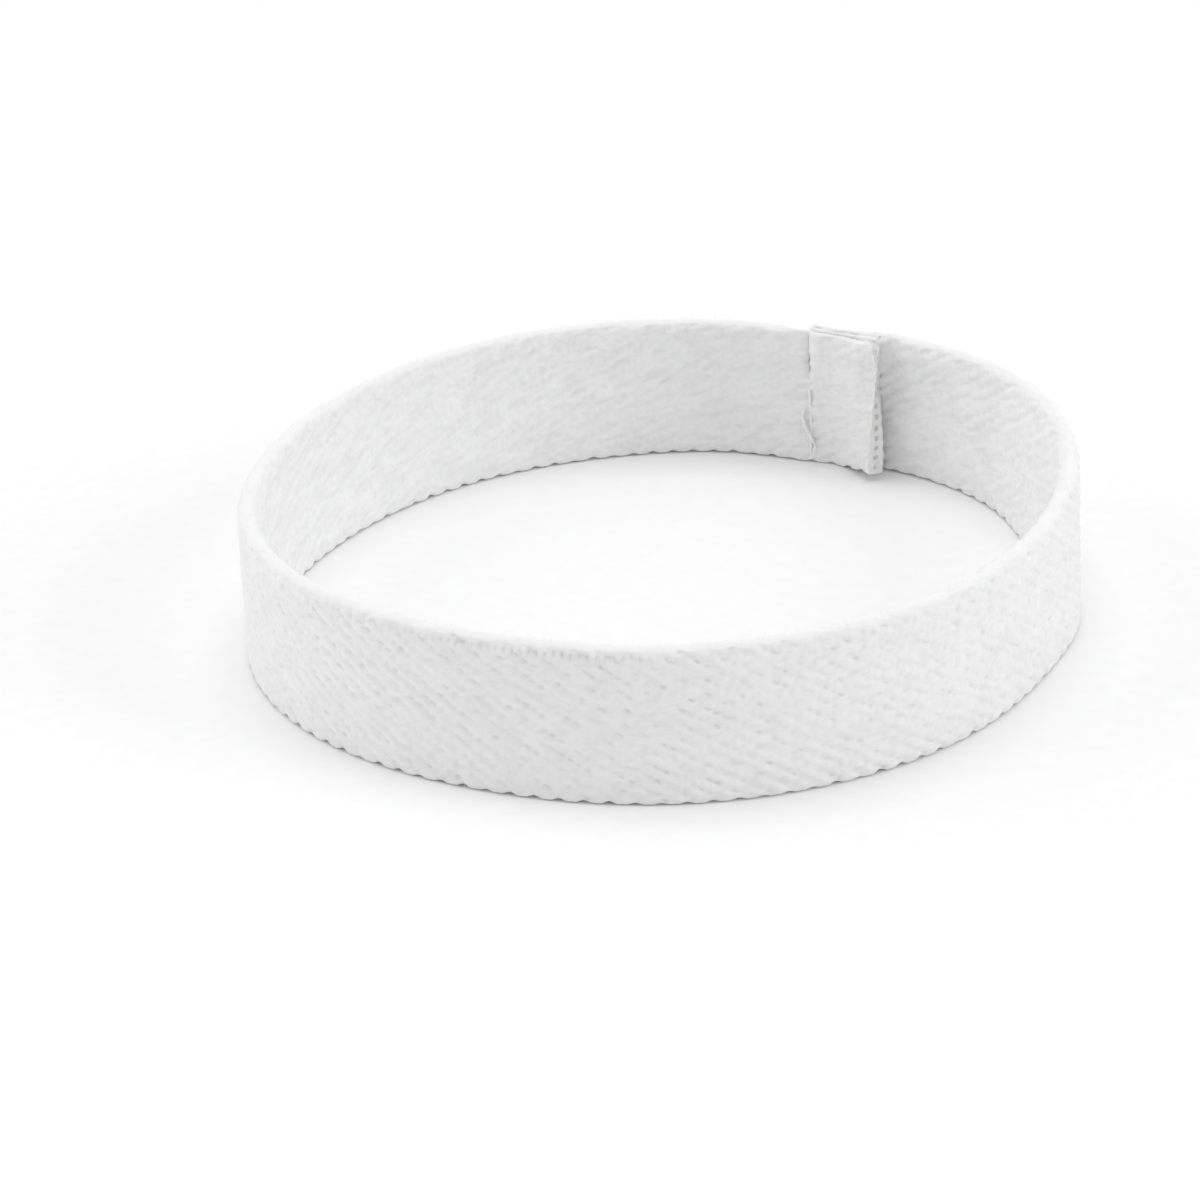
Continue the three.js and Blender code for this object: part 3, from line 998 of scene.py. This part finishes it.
def build_webbing(material):
    """The strip in three lengths, and the surface points of the loop and of the flap."""
    loop, loop_points = strip_object("webbing_loop", LOOP_STARTS, LOOP_ENDS)
    flap, flap_points = strip_object("webbing_left_end", -ALLOWANCE_TOP, LOOP_STARTS, flap_cut)
    under, _ = strip_object("webbing_right_end", LOOP_ENDS, UNDER_ENDS)
    for piece in (loop, flap, under):
        finished(piece, material)
    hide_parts("webbing_front", "webbing_rear_left", "webbing_rear_right")
    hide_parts("seam_allowance_top", "webbing_fold_left")
    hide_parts("seam_allowance_under", "webbing_fold_right")
    return loop, flap, under, loop_points, flap_points


def core_tube(low, high, step, index):
    along = np.linspace(low, high, max(2, int((high - low) / step)))
    centre, thickness = strip_centre(along, np.full_like(along, core_height(index)))
    radius = CORE_HALF * np.clip(thickness / THICKNESS, 0, 1)
    return tubes(centre[None], radius[None], CORE_SIDES, (0, 0, 1), CORE_SQUARENESS)


def build_cores(material):
    """Each core is one piece round the loop; its two sewn-in ends go with those of its neighbours."""
    cores, flap_parts, under_parts = [], [], []
    for index in range(CORE_COUNT):
        node = f"rubber_core_{index + 1:02d}"
        core = mesh_object(node + "_loop", *core_tube(LOOP_STARTS, LOOP_ENDS, LOOP_CORE_STEP, index))
        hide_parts(node)
        cores.append(core)
        cut = float(flap_cut(np.array(0.0), np.array(core_height(index))))
        flap_parts.append(core_tube(-ALLOWANCE_TOP + cut + CORE_RECESS, LOOP_STARTS, FLAP_CORE_STEP, index))
        under_parts.append(core_tube(LOOP_ENDS, UNDER_ENDS - CORE_RECESS, FOLD_CORE_STEP, index))
    flap_ends = mesh_object("rubber_core_ends_left", *joined(flap_parts))
    under_ends = mesh_object("rubber_core_ends_right", *joined(under_parts))
    for piece in (*cores, flap_ends, under_ends):
        finished(piece, material)
    return cores, flap_ends, under_ends


def on_seam(right, above, height):
    """Point near the seam: above is how far it stands off the inner face."""
    right, height = np.array(right, float), np.array(height, float)
    return place(-right, inner_face(right, height) + above, height)


def needle_stitches():
    """Stitches down the groove, the first one drawn in deepest."""
    points = []
    for stitch, lie in enumerate(STITCH_LIES):
        top = STITCH_TOP - stitch * STITCH_LENGTH
        foot = top - STITCH_LENGTH
        points += [on_seam(0, STITCH_THROUGH, top), on_seam(0, lie - STITCH_SAG, top - STITCH_BEND),
                   on_seam(0, lie, (top + foot) / 2), on_seam(0, lie - STITCH_SAG, foot + STITCH_BEND)]
    points.append(on_seam(0, STITCH_THROUGH, foot))
    return points


def bobbin_stitches():
    """A slight wave on the inner side of the band, hidden in the fold."""
    points = []
    for height in np.arange(STITCH_TOP, BOBBIN_FOOT, -STITCH_LENGTH / 4):
        inset, thickness = right_band(np.array(BOBBIN_AT), np.array(height))
        wave = BOBBIN_WAVE * math.cos(TURN * (STITCH_TOP - height) / STITCH_LENGTH)
        points.append(place(np.array(-BOBBIN_AT), inset + thickness / 2 + wave, np.array(height)))
    return points


def build_threads(material):
    """The needle thread, whose loose tail comes untwisted, and the bobbin thread."""
    outward = plan_outward(np.array(STITCH_ANGLE))
    reference = (outward[1], -outward[0], 0.0)
    tail = [on_seam(*point) for point in TAIL]
    sewn = twisted(curve(needle_stitches(), THREAD_STEP), reference, THREAD_PITCH)
    loose = twisted(curve(tail, THREAD_STEP), reference, TAIL_PITCH, TAIL_OPENS)
    needle = mesh_object("needle_thread_visual", *joined([sewn, loose]))
    hidden = twisted(curve(bobbin_stitches(), THREAD_STEP), reference, THREAD_PITCH)
    bobbin = mesh_object("bobbin_thread_visual", *hidden)
    for piece, node in ((needle, "needle_thread"), (bobbin, "bobbin_thread")):
        finished(piece, material)
        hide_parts(node)
        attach(piece, "rear")


def loose_fibres(name, points, count, seed, material):
    """Loose fibre ends standing off the strip, more of them along its two edges."""
    random = np.random.RandomState(seed)
    stations, ring = points.shape[:2]
    station = random.randint(2, stations - 2, count)
    at_edge = random.uniform(size=count) < FIBRES_AT_EDGES
    around = random.randint(0, ring, count)
    on_top = random.uniform(size=count) < FIBRES_ON_TOP
    edge_start = np.where(on_top, FACE_POINTS, 2 * FACE_POINTS + EDGE_STEPS)
    around = np.where(at_edge, edge_start + random.randint(0, EDGE_STEPS, count), around)
    root = points[station, around]
    run = points[station + 1, around] - points[station - 1, around]
    climb = points[station, (around + 1) % ring] - points[station, around - 1]
    normal = unit(np.cross(run, climb))
    lean = np.clip(random.normal(0, FIBRE_LEAN, (count, 3)), -FIBRE_LEAN_MOST, FIBRE_LEAN_MOST)
    curl = np.clip(random.normal(0, FIBRE_CURL, (count, 3)), -FIBRE_CURL_MOST, FIBRE_CURL_MOST)
    curl = curl - FIBRE_DROOP * normal
    length = random.uniform(*FIBRE_LENGTH, count)[:, None, None]
    t = np.linspace(0, 1, FIBRE_STATIONS)[None, :, None]
    grown = (normal + FIBRE_SIDEWAYS * lean)[:, None] * t + curl[:, None] * t ** 2
    paths = root[:, None] + length * grown - FIBRE_ROOT * normal[:, None]
    paths[..., 2] = np.maximum(paths[..., 2], FIBRE_RADIUS)
    taper = FIBRE_RADIUS * (1 - FIBRE_TAPER * t[..., 0])
    reference = unit(random.normal(0, 1, (count, 1, 3)))
    made = mesh_object(name, *tubes(paths, taper, FIBRE_SIDES, reference))
    finished(made, material)
    return made


# ---------------------------------------------------------------- studio

def build_floor():
    half = FLOOR_HALF
    mesh = bpy.data.meshes.new("floor")
    corners = [(-half, -half, 0), (half, -half, 0), (half, half, 0), (-half, half, 0)]
    mesh.from_pydata(corners, [], [(0, 1, 2, 3)])
    mesh.materials.append(floor_material())
    floor = linked(bpy.data.objects.new("floor", mesh))
    floor.location.z = cad_low.z - FLOOR_GAP


def build_world():
    """A white surround that is brighter behind the loop than in front of it."""
    world = bpy.data.worlds.new("studio")
    bpy.context.scene.world = world
    world.use_nodes = True
    tree = world.node_tree
    background = tree.nodes["Background"]
    background.inputs["Color"].default_value = WHITE
    direction = tree.nodes.new("ShaderNodeTexCoord").outputs["Generated"]
    parts = tree.nodes.new("ShaderNodeSeparateXYZ")
    tree.links.new(direction, parts.inputs["Vector"])
    fade = tree.nodes.new("ShaderNodeMapRange")
    fade.inputs["From Min"].default_value, fade.inputs["From Max"].default_value = WORLD_FADE
    fade.inputs["To Min"].default_value, fade.inputs["To Max"].default_value = WORLD_STRENGTH
    tree.links.new(parts.outputs["Y"], fade.inputs["Value"])
    tree.links.new(fade.outputs["Result"], background.inputs["Strength"])


def area_light(name, location, size, watts):
    data = bpy.data.lights.new(name, "AREA")
    data.size, data.energy = size, watts
    light = linked(bpy.data.objects.new(name, data))
    light.location = location
    light.rotation_mode = "QUATERNION"
    light.rotation_quaternion = (-Vector(location)).to_track_quat("-Z", "Y")


def build_camera():
    """Looks slightly down at the loop, which sits right of and above the middle of the frame."""
    target = Vector((PLAN_OFFSET[0] * MM, PLAN_OFFSET[1] * MM, WIDTH / 2 * MM))
    forward = Vector((0, math.cos(CAMERA_ELEVATION), -math.sin(CAMERA_ELEVATION)))
    side = Vector((1, 0, 0))
    up = side.cross(forward)
    rolled_side = side * math.cos(CAMERA_ROLL) - up * math.sin(CAMERA_ROLL)
    rolled_up = side * math.sin(CAMERA_ROLL) + up * math.cos(CAMERA_ROLL)
    per_frame = SENSOR / LENS
    look = forward - rolled_side * RIGHT_OF_MIDDLE * per_frame - rolled_up * ABOVE_MIDDLE * per_frame
    look = look.normalized()
    right = (rolled_side - look * rolled_side.dot(look)).normalized()
    data = bpy.data.cameras.new("camera")
    data.lens, data.sensor_width = LENS, SENSOR
    made = linked(bpy.data.objects.new("camera", data))
    made.rotation_mode = "QUATERNION"
    made.rotation_quaternion = Matrix((right, right.cross(look), -look)).transposed().to_quaternion()
    made.location = target - forward * CAMERA_DISTANCE
    bpy.context.scene.camera = made


# ---------------------------------------------------------------- the whole


def build_wristband():
    webbing, thread, rubber = webbing_material(), thread_material(), rubber_material()
    loop, flap, under, loop_points, flap_points = build_webbing(webbing)
    cores, flap_core_ends, under_core_ends = build_cores(rubber)
    build_threads(thread)
    loop_fibres = loose_fibres("fibre_ends_loop", loop_points, LOOP_FIBRES, LOOP_FIBRES_SEED, thread)
    flap_fibres = loose_fibres("fibre_ends_flap", flap_points, FLAP_FIBRES, FLAP_FIBRES_SEED, thread)
    for piece in (loop, *cores, loop_fibres):
        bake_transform(piece)
    for piece in (flap, under, flap_core_ends, under_core_ends, flap_fibres):
        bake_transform(piece)


build_wristband()
build_floor()
build_world()
for light in LIGHTS:
    area_light(*light)
build_camera()
bpy.context.scene.view_settings.view_transform = "Standard"
